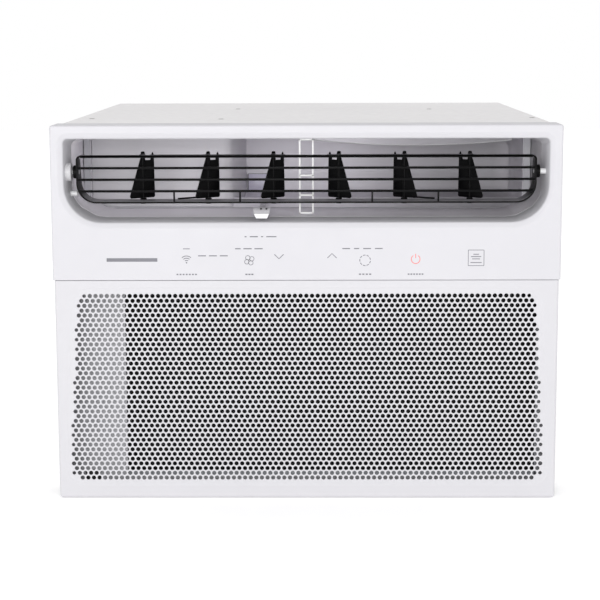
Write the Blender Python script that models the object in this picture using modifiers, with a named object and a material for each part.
"""A window air conditioner as separate pieces.

Metres, +Z up. The room side faces -Y, and the origin is under the middle of the unit.
"""

import math

import bmesh
import bpy
from mathutils import Euler, Matrix, Vector

# ---- driving dimensions
WIDTH = 0.480  # of the front, across
HEIGHT = 0.358
DEPTH = 0.530
SEAM_Z = 0.212  # where the intake door ends and the control band begins
GAP = 0.0003  # air between touching pieces
SHEET = 0.0012  # steel sheet
WALL = 0.0025  # moulded plastic

FRONT = -DEPTH / 2
REAR = DEPTH / 2
BEZEL_REAR = FRONT + 0.040
CABINET_X = WIDTH / 2 - 0.002
CABINET_TOP = HEIGHT - 0.001
INSIDE_X = CABINET_X - SHEET - 0.0005

# air outlet in the bezel
OUTLET_X = 0.2274
OUTLET_LOW = 0.267
OUTLET_HIGH = 0.345
THROAT_REAR = FRONT + 0.028

# louvre frame and vanes
LOUVRE_FRONT = FRONT + 0.006
LOUVRE_DEPTH = 0.026
LOUVRE_X = 0.2165
LOUVRE_LOW = 0.2842
LOUVRE_HIGH = 0.3281
LOUVRE_BAND = 0.0016
LOUVRE_PITCH = 0.0110
LOUVRE_CORNER = 0.019
TILT_Y = LOUVRE_FRONT + 0.010
TILT_Z = 0.3135
VANE_PITCH = 0.0622
VANE_Y = LOUVRE_FRONT + 0.022
VANE_LOW = 0.2895
VANE_HIGH = 0.3255
VANE_ANGLE = math.radians(51)  # how far each group is turned outwards
TIE_RADIUS = 0.011
PIN_TOP = 0.3310

# the fan line, along Y
AXIS_X = 0.045
AXIS_Z = 0.150
SHAFT_RADIUS = 0.006
BULKHEAD_Y = -0.057
HOOD_FRONT = -0.160
HOOD_REAR = -0.060
HOOD_X = 0.2225
HOOD_FLOOR = 0.270

# filter, in its channel behind the door
FILTER_LEFT = -0.178
FILTER_RIGHT = 0.2392
FILTER_LOW = 0.0130
FILTER_HIGH = 0.2095
FILTER_FRONT = FRONT + 0.0241
INTAKE_LEFT = -0.1745

# the door's hinge line
HINGE_Y = FRONT + 0.007
HINGE_Z = 0.006
DOOR_REAR = FRONT + 0.019
DOOR_X = WIDTH / 2 - 0.0015

# fresh-air flap in the rear wall of the outlet
VENT_X = -0.0495
VENT_WIDTH = 0.021
VENT_LOW = 0.275
VENT_HIGH = 0.294

COMPRESSOR_X = -0.165
COMPRESSOR_Y = 0.045
ACCUMULATOR_X = -0.078
ACCUMULATOR_Y = 0.060
SUCTION_HOLE = (-0.150, 0.185)
CAPILLARY_HOLE = (-0.165, 0.110)
TOP_SCREWS = [
    (-0.2195, -0.1155),
    (-0.0870, -0.1285),
    (-0.0807, 0.1016),
    (0.1376, 0.0885),
    (0.2290, -0.1162),
]

# where the supply lead enters, in the right side
GLAND_Y = -0.205
GLAND_Z = 0.045

NOWHERE = (0.0, 0.0, 0.0)


# ---- scene and materials

def clear_scene():
    for thing in list(bpy.data.objects):
        bpy.data.objects.remove(thing, do_unlink=True)


def new_collection(name):
    made = bpy.data.collections.new(name)
    bpy.context.scene.collection.children.link(made)
    return made


def material(name, colour, roughness, metallic=0.0):
    made = bpy.data.materials.new(name)
    made.use_nodes = True
    shader = made.node_tree.nodes["Principled BSDF"]
    shader.inputs["Base Color"].default_value = (*colour, 1.0)
    shader.inputs["Roughness"].default_value = roughness
    shader.inputs["Metallic"].default_value = metallic
    return made


clear_scene()
PARTS = new_collection("window_air_conditioner")
CUTTERS = new_collection("cutters")

WHITE = material("bezel_white", (0.83, 0.84, 0.86), 0.40)
DOOR_WHITE = material("door_white", (0.80, 0.81, 0.82), 0.45)
PIN_WHITE = material("pin_white", (0.88, 0.88, 0.89), 0.45)
DUCT_GREY = material("duct_grey", (0.42, 0.42, 0.44), 0.50)
LOUVRE_BLACK = material("louvre_black", (0.012, 0.012, 0.013), 0.45)
CABINET_PAINT = material("cabinet_paint", (0.72, 0.71, 0.70), 0.42)
GALVANISED = material("galvanised_steel", (0.60, 0.61, 0.62), 0.40, 1.0)
FINS = material("coil_aluminium", (0.72, 0.73, 0.74), 0.35, 1.0)
COPPER = material("copper_tube", (0.72, 0.38, 0.22), 0.30, 1.0)
BLACK_STEEL = material("compressor_black", (0.02, 0.02, 0.022), 0.45)
MOTOR_STEEL = material("motor_steel", (0.45, 0.46, 0.47), 0.35, 1.0)
FAN_PLASTIC = material("fan_plastic", (0.05, 0.05, 0.055), 0.50)
FOAM = material("scroll_foam", (0.86, 0.86, 0.87), 0.80)
RUBBER = material("black_rubber", (0.02, 0.02, 0.02), 0.75)
FILTER_GREY = material("filter_frame_grey", (0.30, 0.31, 0.33), 0.50)
FILTER_MESH = material("filter_mesh_black", (0.015, 0.015, 0.016), 0.80)
BOARD_GREEN = material("board_green", (0.03, 0.20, 0.09), 0.45)
SCREW_STEEL = material("screw_steel", (0.62, 0.62, 0.63), 0.30, 1.0)


# ---- building tools

def file_away(piece, finish):
    """A piece with a finish is a part. One without is a cutter."""
    if finish is None:
        CUTTERS.objects.link(piece)
        piece.hide_render = True
        piece.display_type = "WIRE"
    else:
        PARTS.objects.link(piece)
        piece.data.materials.append(finish)


def make(name, shape, finish=None, pivot=NOWHERE):
    """An object from a bmesh drawn in world places, with its origin at pivot."""
    bmesh.ops.translate(shape, verts=shape.verts, vec=-Vector(pivot))
    mesh = bpy.data.meshes.new(name)
    shape.to_mesh(mesh)
    shape.free()
    piece = bpy.data.objects.new(name, mesh)
    piece.location = pivot
    file_away(piece, finish)
    return piece


def add_copy(target, shape):
    """Adds one bmesh to another. The first is used up."""
    mesh = bpy.data.meshes.new("copy")
    shape.to_mesh(mesh)
    shape.free()
    target.from_mesh(mesh)
    bpy.data.meshes.remove(mesh)


def add_block(shape, low, high):
    size = [b - a for a, b in zip(low, high)]
    middle = [(a + b) / 2 for a, b in zip(low, high)]
    corners = bmesh.ops.create_cube(shape, size=1.0)["verts"]
    bmesh.ops.scale(shape, vec=size, verts=corners)
    bmesh.ops.translate(shape, vec=middle, verts=corners)


def blocks(name, boxes, finish=None, pivot=NOWHERE):
    shape = bmesh.new()
    for low, high in boxes:
        add_block(shape, low, high)
    return make(name, shape, finish, pivot)


def block(name, low, high, finish=None, pivot=NOWHERE):
    return blocks(name, [(low, high)], finish, pivot)


def add_rod(shape, start, end, radius, sides=20):
    start, end = Vector(start), Vector(end)
    along = (end - start).to_track_quat("Z", "Y").to_matrix().to_4x4()
    place = Matrix.Translation((start + end) / 2) @ along
    length = (end - start).length
    bmesh.ops.create_cone(
        shape, cap_ends=True, segments=sides, radius1=radius, radius2=radius, depth=length, matrix=place
    )


def rod(name, start, end, radius, finish=None, pivot=NOWHERE, sides=20):
    shape = bmesh.new()
    add_rod(shape, start, end, radius, sides)
    return make(name, shape, finish, pivot)


def combine(piece, tool, operation):
    step = piece.modifiers.new(tool.name, "BOOLEAN")
    step.object = tool
    step.operation = operation
    step.solver = "EXACT"


def cut(piece, *tools):
    for tool in tools:
        combine(piece, tool, "DIFFERENCE")


def join(piece, *tools):
    for tool in tools:
        combine(piece, tool, "UNION")


def soften(piece, width, segments=2):
    step = piece.modifiers.new("soften", "BEVEL")
    step.width = width
    step.segments = segments
    step.limit_method = "ANGLE"
    step.angle_limit = math.radians(50)


def arc(centre, radius, start, end, steps=5):
    """Points on an arc, with its angles in degrees."""
    points = []
    for i in range(steps + 1):
        turn = math.radians(start + (end - start) * i / steps)
        points.append((centre[0] + radius * math.cos(turn), centre[1] + radius * math.sin(turn)))
    return points


def circle(centre, radius, sides=24):
    return arc(centre, radius, 0, 360 - 360 / sides, sides - 1)


def rounded(left, right, low, high, top_radius, low_radius, steps=5):
    """A rectangle whose top corners and bottom corners have their own radii."""
    return (
        arc((right - top_radius, high - top_radius), top_radius, 0, 90, steps)
        + arc((left + top_radius, high - top_radius), top_radius, 90, 180, steps)
        + arc((left + low_radius, low + low_radius), low_radius, 180, 270, steps)
        + arc((right - low_radius, low + low_radius), low_radius, 270, 360, steps)
    )


def rectangle(left, right, low, high):
    return [(left, low), (right, low), (right, high), (left, high)]


PLANES = {
    "XZ": Matrix(((1, 0, 0), (0, 0, -1), (0, 1, 0))),
    "YZ": Matrix(((0, 0, 1), (1, 0, 0), (0, 1, 0))),
    "XY": Matrix.Identity(3),
}
THICKNESS_AXIS = {"XZ": (0, 1, 0), "YZ": (1, 0, 0), "XY": (0, 0, 1)}


def evaluated(guide):
    """The welded mesh of a curve, as a bmesh in world places. The curve is removed."""
    bpy.context.scene.collection.objects.link(guide)
    bpy.context.view_layer.update()
    depsgraph = bpy.context.evaluated_depsgraph_get()
    mesh = bpy.data.meshes.new_from_object(guide.evaluated_get(depsgraph))
    shape = bmesh.new()
    shape.from_mesh(mesh)
    shape.transform(guide.matrix_world)
    bmesh.ops.remove_doubles(shape, verts=shape.verts, dist=1e-6)
    bmesh.ops.recalc_face_normals(shape, faces=shape.faces)
    bpy.data.meshes.remove(mesh)
    bpy.data.objects.remove(guide, do_unlink=True)
    return shape


def slab_shape(loops, low, high, plane="XZ"):
    """A flat outline with holes, drawn in a plane and given thickness from low to high."""
    curve = bpy.data.curves.new("outline", "CURVE")
    curve.dimensions = "2D"
    curve.fill_mode = "BOTH"
    curve.extrude = (high - low) / 2
    for loop in loops:
        spline = curve.splines.new("POLY")
        spline.points.add(len(loop) - 1)
        for point, (across, up) in zip(spline.points, loop):
            point.co = (across, up, 0.0, 1.0)
        spline.use_cyclic_u = True
    guide = bpy.data.objects.new("outline", curve)
    middle = Vector(THICKNESS_AXIS[plane]) * (low + high) / 2
    guide.matrix_world = Matrix.Translation(middle) @ PLANES[plane].to_4x4()
    return evaluated(guide)


def slab(name, loops, low, high, finish=None, plane="XZ", pivot=NOWHERE):
    return make(name, slab_shape(loops, low, high, plane), finish, pivot)


AXES = {
    "X": Euler((0.0, math.pi / 2, 0.0)),
    "Y": Euler((-math.pi / 2, 0.0, 0.0)),
    "Z": Euler((0.0, 0.0, 0.0)),
}


def turned(name, profile, base, axis, finish=None, steps=28, closed=False):
    """A profile of (radius, height) turned about an axis. Its outer side runs top to bottom."""
    mesh = bpy.data.meshes.new(name)
    edges = [(i, i + 1) for i in range(len(profile) - 1)]
    if closed:
        edges.append((len(profile) - 1, 0))
    mesh.from_pydata([(radius, 0.0, height) for radius, height in profile], edges, [])
    piece = bpy.data.objects.new(name, mesh)
    piece.location = base
    piece.rotation_euler = AXES[axis]
    step = piece.modifiers.new("turn", "SCREW")
    step.steps = steps
    step.render_steps = steps
    step.use_merge_vertices = True
    step.merge_threshold = 1e-5
    file_away(piece, finish)
    return piece


def smooth_route(points, per_leg=5):
    """Points along one smooth curve through the given ones."""
    knots = [Vector(p) for p in points]
    knots = [2 * knots[0] - knots[1]] + knots + [2 * knots[-1] - knots[-2]]
    route = []
    for a, b, c, d in zip(knots, knots[1:], knots[2:], knots[3:]):
        for i in range(per_leg):
            t = i / per_leg
            bend = (2 * a - 5 * b + 4 * c - d) * t * t + (3 * b - a - 3 * c + d) * t**3
            route.append((2 * b + (c - a) * t + bend) / 2)
    route.append(knots[-2])
    return route


def tube(name, route, radius, finish, resolution=2):
    curve = bpy.data.curves.new(name, "CURVE")
    curve.dimensions = "3D"
    curve.bevel_depth = radius
    curve.bevel_resolution = resolution
    curve.use_fill_caps = True
    spline = curve.splines.new("POLY")
    spline.points.add(len(route) - 1)
    for point, place in zip(spline.points, route):
        point.co = (*place, 1.0)
    guide = bpy.data.objects.new(name + "_route", curve)
    return make(name, evaluated(guide), finish)


def outlet_outline(grow):
    """The outlet's outline in the bezel, made larger by grow."""
    x, low, high = OUTLET_X + grow, OUTLET_LOW - grow, OUTLET_HIGH + grow
    return rounded(-x, x, low, high, 0.009 + grow, 0.035 + grow, 7)


# ---- room side: bezel and door

def front_bezel():
    fascia = slab(
        "front_bezel",
        [rounded(-WIDTH / 2, WIDTH / 2, SEAM_Z + 0.0004, HEIGHT, 0.006, 0.001, 3)],
        FRONT,
        BEZEL_REAR,
        WHITE,
    )
    soften(fascia, 0.0018)
    inner = rectangle(-WIDTH / 2 + WALL, WIDTH / 2 - WALL, SEAM_Z + 0.0029, HEIGHT - WALL)
    ring_cavity = slab("bezel_cavity", [inner, outlet_outline(WALL)], FRONT + 0.003, THROAT_REAR + 0.001)
    rear_cavity = slab("bezel_rear_cavity", [inner], THROAT_REAR, BEZEL_REAR + 0.001)
    opening = slab("outlet_opening", [outlet_outline(0.0)], FRONT - 0.001, THROAT_REAR + 0.001)
    cut(fascia, ring_cavity, rear_cavity, opening)
    join(fascia, lower_frame())
    groove = block(
        "filter_groove",
        (FILTER_LEFT - 0.0005, FILTER_FRONT - GAP, FILTER_LOW - 0.0005),
        (WIDTH / 2 + 0.005, FILTER_FRONT + 0.0041, FILTER_HIGH + 0.0005),
    )
    pocket_far = (INTAKE_LEFT - 0.007, BEZEL_REAR + 0.001, 0.206)
    service_pocket = block("service_pocket", (-0.2365, FRONT + 0.024, 0.010), pocket_far)
    service_hole = block("service_hole", (-0.206, FRONT + 0.020, 0.012), (-0.192, FRONT + 0.025, 0.026))
    cut(fascia, groove, service_pocket, service_hole)
    for side, end in ((-1, "left"), (1, "right")):
        inner_end = (side * 0.220, HINGE_Y, HINGE_Z)
        outer_end = (side * 0.237, HINGE_Y, HINGE_Z)
        cut(fascia, rod(f"hinge_hole_{end}", inner_end, outer_end, 0.0016, sides=12))


def lower_frame():
    """The frame behind the door, with the two ears that the door hinges on."""
    front = FRONT + 0.0215
    outer = rectangle(-WIDTH / 2 + 0.001, WIDTH / 2 - 0.001, 0.0, SEAM_Z + 0.004)
    intake = rectangle(INTAKE_LEFT, 0.2250, 0.0165, 0.2060)
    frame = slab("lower_frame", [outer, intake], front, BEZEL_REAR)
    ears = []
    for side in (-1, 1):
        low, high = sorted((side * 0.2290, side * 0.2335))
        ears.append(((low, HINGE_Y - 0.0025, HINGE_Z - 0.003), (high, front + 0.001, HINGE_Z + 0.003)))
    join(frame, blocks("hinge_ears", ears))
    return frame


def intake_door():
    """The perforated front, coarse here: slots stand for its small round holes."""
    pivot = (0.0, HINGE_Y, HINGE_Z)
    outline = rounded(-DOOR_X, DOOR_X, 0.0, SEAM_Z - 0.0002, 0.001, 0.004, 3)
    door = slab("intake_door", [outline], FRONT, DOOR_REAR, DOOR_WHITE, pivot=pivot)
    soften(door, 0.0012)
    room_x, room_rear = DOOR_X - 0.0022, DOOR_REAR + 0.001
    inside = block(
        "door_inside", (-room_x, FRONT + WALL, 0.0022), (room_x, room_rear, SEAM_Z - 0.0024)
    )
    top_relief = block(
        "door_top_relief", (-room_x, FRONT + 0.008, 0.200), (room_x, room_rear, SEAM_Z + 0.001)
    )
    notches = []
    for side in (-1, 1):
        low, high = sorted((side * 0.2280, side * 0.2345))
        notches.append(((low, HINGE_Y, -0.001), (high, room_rear, 0.004)))
    cut(door, inside, top_relief, blocks("door_notches", notches), intake_slots())
    for side, end in ((-1, "left"), (1, "right")):
        start = (side * (DOOR_X - 0.001), HINGE_Y, HINGE_Z)
        join(door, rod(f"door_pin_{end}", start, (side * 0.2300, HINGE_Y, HINGE_Z), 0.0013, sides=10))


def intake_slots():
    columns, rows, margin = 4, 9, 0.004
    left, right, low, high = -0.212, 0.212, 0.0205, 0.1970
    pitch_x = (right - left) / columns
    pitch_z = (high - low) / rows
    slots = []
    for column in range(columns):
        for row in range(rows):
            x = left + column * pitch_x + margin
            z = low + row * pitch_z + margin
            far_corner = (x + pitch_x - 2 * margin, FRONT + WALL + 0.0015, z + pitch_z - 2 * margin)
            slots.append(((x, FRONT - 0.001, z), far_corner))
    return blocks("intake_slots", slots)


def air_filter():
    frame_rear = FILTER_FRONT + 0.0029
    mesh_right = 0.2230
    outer = rectangle(FILTER_LEFT, FILTER_RIGHT, FILTER_LOW, FILTER_HIGH)
    windows = []
    border, rib, count = 0.009, 0.004, 3
    left, right = FILTER_LEFT + border, mesh_right - border
    span = (right - left - rib * (count - 1)) / count
    for column in range(count):
        x = left + column * (span + rib)
        windows.append(rectangle(x, x + span, FILTER_LOW + border, FILTER_HIGH - border))
    slab("air_filter_frame", [outer, *windows], FILTER_FRONT, frame_rear, FILTER_GREY)
    block(
        "filter_mesh",
        (FILTER_LEFT + 0.002, frame_rear + GAP, FILTER_LOW + 0.002),
        (mesh_right, frame_rear + GAP + 0.0004, FILTER_HIGH - 0.002),
        FILTER_MESH,
    )


# ---- outlet: duct, louvre frame, vanes

def outlet_duct():
    outer = rounded(-0.2247, 0.2247, 0.2678, 0.3452, 0.009, 0.033, 5)
    inner = rounded(-0.2225, 0.2225, 0.2700, 0.3430, 0.007, 0.031, 5)
    slab("outlet_duct", [outer, inner], THROAT_REAR + GAP, HOOD_FRONT - GAP, DUCT_GREY)


def duct_strut():
    """The white ladder that stands in the middle of the duct."""
    half, rail = 0.0072, 0.0016
    low, high = 0.2703, 0.3427
    rungs = [low, 0.2868, 0.3058, high - rail]
    windows = []
    for bottom, top in zip(rungs, rungs[1:]):
        windows.append(rectangle(-half + rail, half - rail, bottom + rail, top))
    outer = rectangle(-half, half, low, high)
    slab("duct_strut", [outer, *windows], FRONT + 0.0430, FRONT + 0.0452, PIN_WHITE)


def rim_outline(inset):
    return rounded(
        -LOUVRE_X + inset,
        LOUVRE_X - inset,
        LOUVRE_LOW + inset,
        LOUVRE_HIGH - inset,
        0.004 - inset,
        LOUVRE_CORNER - inset,
        5,
    )


def rim_half_width(z):
    """Half the outer width of the louvre frame at a height."""
    below = max(0.0, LOUVRE_LOW + LOUVRE_CORNER - z)
    return LOUVRE_X - LOUVRE_CORNER + math.sqrt(LOUVRE_CORNER**2 - below**2)


def louvre_frame():
    pivot = (0.0, TILT_Y, TILT_Z)
    rear = LOUVRE_FRONT + LOUVRE_DEPTH
    rim = [rim_outline(0.0), rim_outline(LOUVRE_BAND)]
    frame = slab("louvre_frame", rim, LOUVRE_FRONT, rear, LOUVRE_BLACK, pivot=pivot)
    bar_rear = LOUVRE_FRONT + 0.0025
    shape = bmesh.new()
    for row in (1, 2, 3):
        z = LOUVRE_HIGH - row * LOUVRE_PITCH
        reach = rim_half_width(z - 0.001) - LOUVRE_BAND / 2
        add_block(shape, (-reach, LOUVRE_FRONT, z - 0.0008), (reach, bar_rear, z + 0.0008))
    low_bar = LOUVRE_HIGH - 3 * LOUVRE_PITCH
    for place in (-2, -1, 1, 2):
        x = place * VANE_PITCH
        foot = (x - 0.0008, LOUVRE_FRONT, LOUVRE_LOW + 0.0008)
        add_block(shape, foot, (x + 0.0008, bar_rear, low_bar))
    join(frame, make("louvre_bars", shape))
    bosses = bmesh.new()
    holes = bmesh.new()
    for x in vane_places():
        boss_low = LOUVRE_LOW - 0.0022
        add_rod(bosses, (x, VANE_Y, boss_low), (x, VANE_Y, LOUVRE_LOW + 0.0008), 0.0032, 10)
        add_rod(holes, (x, VANE_Y, boss_low - 0.008), (x, VANE_Y, PIN_TOP + 0.002), 0.0014, 8)
    for side in (-1, 1):
        hub = (side * (LOUVRE_X - 0.0008), TILT_Y, TILT_Z)
        add_rod(bosses, hub, (side * 0.2190, TILT_Y, TILT_Z), 0.006, 12)
        add_rod(holes, (side * 0.2130, TILT_Y, TILT_Z), (side * 0.2210, TILT_Y, TILT_Z), 0.0031, 10)
    join(frame, make("louvre_bosses", bosses))
    cut(frame, make("louvre_holes", holes))


def vane_places():
    return [(place - 2.5) * VANE_PITCH for place in range(6)]


def vane_shape(has_lever):
    """A vane that points to -Y from its pivot, drawn about the pivot at x = 0."""
    rear, front = 0.0157, 0.0114
    notch = VANE_HIGH - 0.002
    side_view = [
        (VANE_Y + rear, VANE_HIGH),
        (VANE_Y + 0.0085, VANE_HIGH),
        (VANE_Y + 0.0085, notch),
        (VANE_Y + 0.0025, notch),
        (VANE_Y + 0.0025, VANE_HIGH),
        (VANE_Y - 0.0010, VANE_HIGH),
    ]
    side_view += arc((VANE_Y - front + 0.002, VANE_LOW + 0.002), 0.002, 180, 270, 3)
    side_view += arc((VANE_Y + rear - 0.002, VANE_LOW + 0.002), 0.002, 270, 360, 3)
    plate = slab_shape([side_view], -0.0006, 0.0006, "YZ")
    extras = bmesh.new()
    bottom = LOUVRE_LOW + LOUVRE_BAND + GAP
    top = LOUVRE_HIGH - LOUVRE_BAND - GAP
    add_rod(extras, (0, VANE_Y, bottom), (0, VANE_Y, top), 0.0016, 8)
    pins = bmesh.new()
    tie_y = VANE_Y + TIE_RADIUS
    add_rod(pins, (0, VANE_Y, LOUVRE_LOW - 0.0027), (0, VANE_Y, PIN_TOP), 0.0010, 8)
    add_rod(pins, (0, tie_y, VANE_HIGH - 0.003), (0, tie_y, PIN_TOP), 0.0010, 8)
    if has_lever:
        tip = (-0.0015, VANE_Y - 0.0350, VANE_LOW + 0.0006)
        add_block(pins, tip, (0.0015, VANE_Y - 0.0070, VANE_LOW + 0.0021))
    return plate, extras, pins


def vanes():
    for index, x in enumerate(vane_places()):
        name = f"vane_{index + 1}"
        side = -1 if x < 0 else 1
        plate, extras, pins = vane_shape(index in (1, 4))
        foot = (0, VANE_Y, VANE_LOW)
        vane = make(name, plate, LOUVRE_BLACK, foot)
        rib = make(f"{name}_rib", extras, None, foot)
        pins = make(f"{name}_pins", pins, None, foot)
        for piece in (vane, rib, pins):
            piece.location.x = x
            piece.rotation_euler.z = side * VANE_ANGLE
        join(vane, rib, pins)


def tie_pin(x, side):
    """Where a vane's tie pin stands when its group is turned outwards."""
    return x - side * TIE_RADIUS * math.sin(VANE_ANGLE), VANE_Y + TIE_RADIUS * math.cos(VANE_ANGLE)


def tie_rods():
    low, high = VANE_HIGH + 0.0008, VANE_HIGH + 0.0026
    places = vane_places()
    for end, side, group in (("left", -1, places[:3]), ("right", 1, places[3:])):
        pins = [tie_pin(x, side) for x in group]
        y = pins[0][1]
        first, last = pins[0][0] - 0.003, pins[-1][0] + 0.003
        outer = rounded(first, last, y - 0.0026, y + 0.0026, 0.0025, 0.0025, 2)
        holes = [circle(pin, 0.0015, 8) for pin in pins]
        pivot = (pins[1][0], y, low)
        slab(f"tie_rod_{end}", [outer, *holes], low, high, LOUVRE_BLACK, "XY", pivot)


def louvre_pins():
    wall = OUTLET_X - GAP
    inner_end = wall - 0.0125
    stepped = [
        (0.0, 0.0125),
        (0.0026, 0.0125),
        (0.0026, 0.0055),
        (0.0080, 0.0055),
        (0.0080, 0.0),
        (0.0, 0.0),
    ]
    turned("louvre_pin_left", stepped, (-wall, TILT_Y, TILT_Z), "X", PIN_WHITE, 14)
    ends = (wall, TILT_Y, TILT_Z), (inner_end, TILT_Y, TILT_Z)
    rod("louvre_pin_right", *ends, 0.0027, PIN_WHITE, sides=16)
    peg_y, peg_z = FRONT + 0.023, 0.2925
    ends = (-wall + 0.0025, peg_y, peg_z), (-0.2175, peg_y, peg_z)
    rod("louvre_rest_peg", *ends, 0.0027, PIN_WHITE, sides=14)


def vent():
    """The tab in the outlet floor pulls the fresh-air flap open."""
    half = 0.0070
    floor = HOOD_FLOOR + GAP
    tab_x = -0.0420
    stem_low = (tab_x - 0.005, FRONT + 0.004, floor)
    stem = block("vent_lever", stem_low, (tab_x + 0.005, -0.0800, floor + 0.0016), PIN_WHITE)
    face = [
        (tab_x - 0.0052, floor),
        (tab_x + 0.0052, floor),
        (tab_x + half, floor + 0.0048),
        (tab_x - half, floor + 0.0048),
    ]
    join(stem, slab("vent_tab", [face], FRONT + 0.0028, FRONT + 0.0044))
    hinge_y, hinge_z = HOOD_REAR - 0.0080, VENT_HIGH + 0.0025
    low = (VENT_X - VENT_WIDTH / 2 - 0.002, hinge_y - 0.0007, VENT_LOW - 0.0025)
    high = (VENT_X + VENT_WIDTH / 2 + 0.002, hinge_y + 0.0007, hinge_z)
    block("vent_damper", low, high, PIN_WHITE, pivot=(VENT_X, hinge_y, hinge_z))


# ---- cabinet

def cabinet_shell():
    outer_x, inner_x = CABINET_X, CABINET_X - SHEET
    outer_r, inner_r = 0.0035, 0.0035 - SHEET
    low = 0.0020
    wrap = [(outer_x, low)]
    wrap += arc((outer_x - outer_r, CABINET_TOP - outer_r), outer_r, 0, 90, 4)
    wrap += arc((-outer_x + outer_r, CABINET_TOP - outer_r), outer_r, 90, 180, 4)
    wrap += [(-outer_x, low), (-inner_x, low)]
    wrap += reversed(arc((-inner_x + inner_r, CABINET_TOP - SHEET - inner_r), inner_r, 90, 180, 4))
    wrap += reversed(arc((inner_x - inner_r, CABINET_TOP - SHEET - inner_r), inner_r, 0, 90, 4))
    wrap += [(inner_x, low)]
    shell = slab("cabinet_shell", [wrap], BEZEL_REAR + 0.0005, REAR, CABINET_PAINT)
    openings = bmesh.new()
    first_y, pitch_y, slot_y, count = 0.080, 0.021, 0.008, 8
    for side in (-1, 1):
        near, far = sorted((side * (inner_x - 0.002), side * (outer_x + 0.002)))
        for column in range(count):
            y = first_y + column * pitch_y
            for slot_low, slot_high in ((0.090, 0.165), (0.185, 0.260)):
                add_block(openings, (near, y, slot_low), (far, y + slot_y, slot_high))
    gland_ends = (inner_x - 0.002, GLAND_Y, GLAND_Z), (outer_x + 0.002, GLAND_Y, GLAND_Z)
    add_rod(openings, *gland_ends, 0.0092, 20)
    for x, y in TOP_SCREWS:
        add_rod(openings, (x, y, CABINET_TOP - 0.004), (x, y, CABINET_TOP + 0.002), 0.0040, 12)
    cut(shell, make("cabinet_openings", openings))


def cord_gland():
    """Where the supply lead enters, flush with the sheet. The lead itself is left out."""
    outer = CABINET_X - 0.0001
    bore, flange_radius, neck, thickness, length = 0.0038, 0.0088, 0.0060, 0.0012, 0.0130
    profile = [
        (bore, 0.0),
        (flange_radius, 0.0),
        (flange_radius, -thickness),
        (neck, -thickness),
        (neck, -length),
        (bore, -length),
    ]
    turned("cord_gland", profile, (outer, GLAND_Y, GLAND_Z), "X", RUBBER, 14, closed=True)


def top_screws():
    """Each head is sunk in its hole, so that the top stays flat for the sash."""
    head, shank, length, sunk = 0.0036, 0.0017, 0.0058, 0.0009
    profile = [
        (0.0, 0.0007),
        (0.0024, 0.0007),
        (head, 0.0),
        (shank, 0.0),
        (shank, -length),
        (0.0, -length),
    ]
    for index, (x, y) in enumerate(TOP_SCREWS):
        turned(f"top_screw_{index + 1}", profile, (x, y, CABINET_TOP - sunk), "Z", SCREW_STEEL, 10)


def base_pan():
    inner = INSIDE_X - SHEET
    front, rear = BEZEL_REAR + 0.0005, REAR - 0.0015
    pan = block("base_pan", (-INSIDE_X, front, 0.0), (INSIDE_X, rear, 0.028), GALVANISED)
    hollow = block("pan_hollow", (-inner, front + SHEET, SHEET), (inner, rear - SHEET, 0.030))
    drain_x, drain_y = 0.190, 0.235
    drain = rod("pan_drain", (drain_x, drain_y, -0.001), (drain_x, drain_y, 0.003), 0.0090)
    cut(pan, hollow, drain)
    profile = [
        (0.0, 0.0040),
        (0.0120, 0.0040),
        (0.0120, 0.0),
        (0.0086, 0.0),
        (0.0086, -0.0012),
        (0.0, -0.0012),
    ]
    turned("drain_plug", profile, (drain_x, drain_y, SHEET + GAP), "Z", RUBBER, 14)


def bulkhead():
    outer = rectangle(-0.2345, 0.2345, SHEET + GAP, CABINET_TOP - SHEET - 0.0008)
    holes = [
        circle((AXIS_X, AXIS_Z), 0.0205),
        circle(SUCTION_HOLE, 0.008, 14),
        circle(CAPILLARY_HOLE, 0.005, 12),
        rectangle(VENT_X - VENT_WIDTH / 2, VENT_X + VENT_WIDTH / 2, VENT_LOW, VENT_HIGH),
    ]
    slab("bulkhead", [outer, *holes], BULKHEAD_Y, BULKHEAD_Y + SHEET, GALVANISED)


def rear_grille():
    x, low, high = 0.2345, SHEET + GAP, CABINET_TOP - SHEET - 0.0008
    slots = []
    columns, rows, margin = 3, 12, 0.012
    pitch_x = (2 * x - margin) / columns
    pitch_z = (high - 0.030 - margin) / rows
    for column in range(columns):
        for row in range(rows):
            left, bottom = -x + margin + column * pitch_x, 0.034 + row * pitch_z
            slots.append(rectangle(left, left + pitch_x - margin, bottom, bottom + pitch_z * 0.62))
    outer = rectangle(-x, x, low, high)
    slab("rear_grille", [outer, *slots], REAR - 0.0055, REAR - 0.0040, CABINET_PAINT)


# ---- air side: coils, blower, fans

def coil(name, left, right, front, rear, low, high, bends):
    """A finned coil between two end plates, with hairpin bends on its left end."""
    core = block(name, (left, front, low), (right, rear, high), FINS)
    plates = []
    for inner, outer in ((left + 0.001, left - 0.002), (right - 0.001, right + 0.002)):
        x_low, x_high = sorted((inner, outer))
        plates.append(((x_low, front - 0.001, SHEET + GAP), (x_high, rear + 0.001, high + 0.003)))
    join(core, blocks(f"{name}_plates", plates))
    middle = (front + rear) / 2
    pitch = (high - low) / bends
    reach = 0.0105
    tubes = bmesh.new()
    for index in range(bends):
        z = low + (index + 0.5) * pitch
        route = [(left + 0.001, middle, z + reach)]
        route += [(left - 0.003 + u, middle, v) for u, v in arc((0.0, z), reach, 90, 270, 5)]
        route.append((left + 0.001, middle, z - reach))
        bend = tube(f"{name}_bend", route, 0.0035, None, 1)
        tubes.from_mesh(bend.data)
        bpy.data.objects.remove(bend, do_unlink=True)
    join(core, make(f"{name}_bends", tubes))


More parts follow.
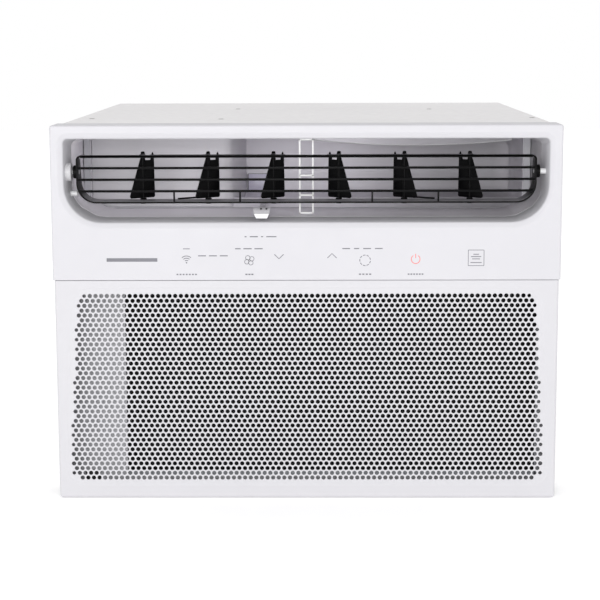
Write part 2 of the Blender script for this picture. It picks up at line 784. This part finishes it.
def blower_scroll():
    hood = block("blower_scroll", (-HOOD_X, HOOD_FRONT, 0.264), (HOOD_X, HOOD_REAR, 0.350), FOAM)
    body = block("scroll_body", (-0.068, HOOD_FRONT, 0.028), (0.180, HOOD_REAR, 0.266))
    join(hood, body)
    room_near, room_far = (-0.216, HOOD_FRONT - 0.001, HOOD_FLOOR), (0.216, HOOD_REAR - 0.006, 0.3435)
    hood_room = block("hood_room", room_near, room_far)
    spiral = []
    start, end, steps = 125, 360, 18
    for i in range(steps + 1):
        turn = math.radians(start + (end - start) * i / steps)
        radius = 0.098 + 0.030 * i / steps
        spiral.append((AXIS_X + radius * math.cos(turn), AXIS_Z + radius * math.sin(turn)))
    spiral += [(spiral[-1][0], 0.275), (spiral[0][0], 0.275)]
    scroll_room = slab("scroll_room", [spiral], HOOD_FRONT + 0.006, HOOD_REAR - 0.006)
    ends = (AXIS_X, HOOD_FRONT - 0.001, AXIS_Z), (AXIS_X, HOOD_FRONT + 0.008, AXIS_Z)
    inlet = rod("scroll_inlet", *ends, 0.072, sides=32)
    ends = (AXIS_X, HOOD_REAR - 0.010, AXIS_Z), (AXIS_X, HOOD_REAR + 0.001, AXIS_Z)
    shaft_hole = rod("scroll_shaft_hole", *ends, 0.012)
    window = block(
        "scroll_vent_window",
        (VENT_X - VENT_WIDTH / 2, HOOD_REAR - 0.008, VENT_LOW),
        (VENT_X + VENT_WIDTH / 2, HOOD_REAR + 0.001, VENT_HIGH),
    )
    cut(hood, hood_room, scroll_room, inlet, shaft_hole, window)


def blower_wheel():
    pivot = (AXIS_X, 0.0, AXIS_Z)
    rear, front = HOOD_REAR - 0.0150, HOOD_REAR - 0.0850
    bore, hub, rim, web = SHAFT_RADIUS + GAP, 0.014, 0.092, 0.0022
    disc = [
        (bore, rear),
        (rim, rear),
        (rim, rear - web),
        (hub, rear - web),
        (hub, rear - 0.020),
        (bore, rear - 0.020),
    ]
    wheel = turned("blower_wheel", disc, pivot, "Y", FAN_PLASTIC, 24, closed=True)
    band = [(0.079, front + 0.003), (rim, front + 0.003), (rim, front), (0.079, front)]
    ring = turned("blower_ring", band, pivot, "Y", None, 24, closed=True)
    blades = bmesh.new()
    count = 24
    for index in range(count):
        blade = bmesh.new()
        add_block(blade, (-0.0075, front + 0.001, -0.0007), (0.0075, rear - 0.001, 0.0007))
        blade.transform(Matrix.Rotation(math.radians(35), 4, "Y"))
        blade.transform(Matrix.Translation((0.0840, 0.0, 0.0)))
        blade.transform(Matrix.Rotation(2 * math.pi * index / count, 4, "Y"))
        add_copy(blades, blade)
    blades.transform(Matrix.Translation(pivot))
    join(wheel, make("blower_blades", blades), ring)


def condenser_fan():
    pivot = (AXIS_X, 0.0, AXIS_Z)
    bore = SHAFT_RADIUS + GAP
    hub = [(bore, 0.188), (0.026, 0.188), (0.028, 0.186), (0.028, 0.158), (bore, 0.158)]
    fan = turned("condenser_fan", hub, pivot, "Y", FAN_PLASTIC, 16, closed=True)
    band = [(0.1140, 0.1790), (0.1180, 0.1790), (0.1180, 0.1670), (0.1140, 0.1670)]
    slinger = turned("slinger_ring", band, pivot, "Y", None, 30, closed=True)
    blades = bmesh.new()
    count = 5
    for index in range(count):
        blade = bmesh.new()
        add_block(blade, (0.0255, -0.0010, -0.030), (0.1155, 0.0010, 0.030))
        blade.transform(Matrix.Rotation(math.radians(62), 4, "X"))
        blade.transform(Matrix.Rotation(2 * math.pi * index / count, 4, "Y"))
        blade.transform(Matrix.Translation((AXIS_X, 0.173, AXIS_Z)))
        add_copy(blades, blade)
    join(fan, make("fan_blades", blades), slinger)


def fan_drive():
    pivot = (AXIS_X, 0.0, AXIS_Z)
    bore = SHAFT_RADIUS + GAP
    profile = [
        (bore, 0.070),
        (0.019, 0.070),
        (0.019, 0.060),
        (0.047, 0.056),
        (0.051, 0.050),
        (0.051, -0.020),
        (0.047, -0.026),
        (0.019, -0.029),
        (0.019, -0.037),
        (bore, -0.037),
    ]
    turned("fan_motor", profile, pivot, "Y", MOTOR_STEEL, 24, closed=True)
    ends = (AXIS_X, HOOD_REAR - 0.088, AXIS_Z), (AXIS_X, 0.192, AXIS_Z)
    rod("motor_shaft", *ends, SHAFT_RADIUS, SCREW_STEEL, sides=18)
    low = SHEET + GAP
    outer = rounded(AXIS_X - 0.058, AXIS_X + 0.058, low, 0.212, 0.020, 0.001, 4)
    hole = circle((AXIS_X, AXIS_Z), 0.0205)
    bracket = slab("motor_bracket", [outer, hole], -0.0335, -0.0315, GALVANISED)
    foot_corner = (AXIS_X + 0.056, 0.055, low + 0.0018)
    join(bracket, block("bracket_foot", (AXIS_X - 0.056, -0.033, low), foot_corner))


def fan_shroud():
    pivot = (AXIS_X, 0.0, AXIS_Z)
    outer = rectangle(-0.200, 0.232, SHEET + GAP, 0.350)
    orifice = circle((AXIS_X, AXIS_Z), 0.126, 32)
    shroud = slab("fan_shroud", [outer, orifice], 0.1960, 0.1980, FAN_PLASTIC)
    lip = [(0.1255, 0.1970), (0.1280, 0.1970), (0.1280, 0.1640), (0.1255, 0.1640)]
    join(shroud, turned("shroud_lip", lip, pivot, "Y", None, 32, closed=True))


# ---- refrigerant circuit and electrics

def compressor():
    low, high, radius = 0.040, 0.258, 0.056
    x, y = centre = (COMPRESSOR_X, COMPRESSOR_Y)
    foot_angles = (90, 210, 330)
    can = [(0.0, high), (0.020, high), (0.046, high - 0.012), (radius, high - 0.032)]
    can += [(radius, low + 0.022), (0.050, low + 0.006), (0.036, low), (0.0, low)]
    body = turned("compressor", can, (*centre, 0.0), "Z", BLACK_STEEL, 24)
    feet = []
    for angle in foot_angles:
        feet += arc(centre, 0.072, angle - 9, angle + 9, 1)
    join(body, slab("compressor_feet", [feet], low - 0.001, low + 0.0015, plane="XY"))
    join(body, block("terminal_cover", (x - 0.020, y + 0.050, 0.170), (x + 0.020, y + 0.068, 0.215)))
    waist = [
        (0.0, 0.0371),
        (0.0085, 0.0371),
        (0.0085, 0.028),
        (0.0065, 0.024),
        (0.0065, 0.016),
        (0.0100, 0.010),
        (0.0100, 0.0),
        (0.0, 0.0),
    ]
    for index, angle in enumerate(foot_angles):
        x, y = arc(centre, 0.063, angle, angle, 1)[0]
        turned(f"compressor_grommet_{index + 1}", waist, (x, y, SHEET + GAP), "Z", RUBBER, 12)
    bottle = [
        (0.0, 0.250),
        (0.006, 0.250),
        (0.020, 0.236),
        (0.020, 0.114),
        (0.006, 0.100),
        (0.0, 0.100),
    ]
    turned("accumulator", bottle, (ACCUMULATOR_X, ACCUMULATOR_Y, 0.0), "Z", BLACK_STEEL, 16)


def pipes():
    suction_x, suction_z = SUCTION_HOLE
    suction = [
        (suction_x, -0.1720, suction_z),
        (suction_x, -0.1200, suction_z),
        (suction_x, -0.0562, suction_z),
        (suction_x + 0.006, -0.030, suction_z + 0.035),
        (-0.108, 0.010, 0.290),
        (-0.084, 0.042, 0.302),
        (ACCUMULATOR_X, ACCUMULATOR_Y, 0.285),
        (ACCUMULATOR_X, ACCUMULATOR_Y, 0.2505),
    ]
    tube("suction_line", smooth_route(suction, 3), 0.0045, COPPER)
    inlet = [
        (ACCUMULATOR_X, ACCUMULATOR_Y, 0.0995),
        (ACCUMULATOR_X, ACCUMULATOR_Y, 0.082),
        (-0.086, 0.0585, 0.070),
        (-0.1078, 0.0535, 0.068),
    ]
    tube("compressor_inlet", smooth_route(inlet, 3), 0.0040, COPPER)
    discharge = [
        (COMPRESSOR_X, COMPRESSOR_Y, 0.2585),
        (COMPRESSOR_X, COMPRESSOR_Y, 0.282),
        (-0.176, 0.070, 0.305),
        (-0.200, 0.130, 0.315),
        (-0.211, 0.185, 0.315),
        (-0.2110, 0.2085, 0.315),
    ]
    tube("discharge_line", smooth_route(discharge, 3), 0.0035, COPPER, 1)
    liquid = [
        (-0.2110, 0.2085, 0.060),
        (-0.2135, 0.188, 0.060),
        (-0.2290, 0.150, 0.060),
        (-0.2300, 0.080, 0.060),
        (-0.2300, 0.010, 0.060),
        (-0.2220, -0.0260, 0.062),
    ]
    tube("liquid_line", smooth_route(liquid, 3), 0.0028, COPPER, 1)
    tube("capillary_tube", capillary_route(), 0.0012, COPPER, 1)


def capillary_route():
    """Two turns, then through the bulkhead to the evaporator."""
    centre_x, centre_y, radius = -0.208, -0.0360, 0.0100
    turns, per_turn, rise = 2, 12, 0.0045
    route = []
    for i in range(turns * per_turn + 1):
        turn = math.radians(150) + 2 * math.pi * i / per_turn
        x = centre_x + radius * math.cos(turn)
        y = centre_y + radius * math.sin(turn)
        route.append(Vector((x, y, 0.0765 + rise * i / per_turn)))
    hole_x, hole_z = CAPILLARY_HOLE
    onward = [
        (-0.2080, -0.0490, 0.0880),
        (-0.1850, -0.0480, 0.1000),
        (hole_x, -0.0400, 0.1100),
        (hole_x, -0.0562, hole_z),
        (hole_x, -0.0800, hole_z),
        (-0.1500, -0.1200, 0.0900),
        (-0.1480, -0.1720, 0.0600),
    ]
    return route + smooth_route(onward, 3)


def electrics():
    low = SHEET + GAP
    left, right, front, rear = -0.2330, -0.1800, BEZEL_REAR + 0.0035, -0.1600
    high, wall = 0.205, 0.002
    box = block("control_box", (left, front, low), (right, rear, high), PIN_WHITE)
    room_low = (left + wall, front + wall, low + wall)
    cut(box, block("control_box_room", room_low, (right - wall, rear + 0.001, high - wall)))
    block("control_box_cover", (left, rear + GAP, low), (right, rear + 0.0017, high), PIN_WHITE)
    can = [
        (0.0, 0.085),
        (0.004, 0.085),
        (0.004, 0.078),
        (0.019, 0.078),
        (0.019, 0.0),
        (0.0, 0.0),
    ]
    turned("run_capacitor", can, (-0.205, -0.118, low), "Z", MOTOR_STEEL, 16)
    board_near, board_far = (-0.125, FRONT + 0.0038, 0.2180), (0.125, FRONT + 0.0054, 0.2600)
    block("display_board", board_near, board_far, BOARD_GREEN)
    rod("room_thermistor", (0.040, -0.2208, 0.150), (0.066, -0.2208, 0.150), 0.0028, COPPER, sides=12)


def build():
    front_bezel()
    intake_door()
    air_filter()
    outlet_duct()
    duct_strut()
    louvre_frame()
    vanes()
    tie_rods()
    louvre_pins()
    vent()
    cabinet_shell()
    cord_gland()
    top_screws()
    base_pan()
    bulkhead()
    rear_grille()
    coil("evaporator_coil", -0.1580, 0.2120, -0.2160, -0.1740, 0.0220, 0.2040, 4)
    coil("condenser_coil", -0.2100, 0.2240, 0.2100, 0.2500, 0.0320, 0.3400, 5)
    blower_scroll()
    blower_wheel()
    condenser_fan()
    fan_drive()
    fan_shroud()
    compressor()
    pipes()
    electrics()


build()
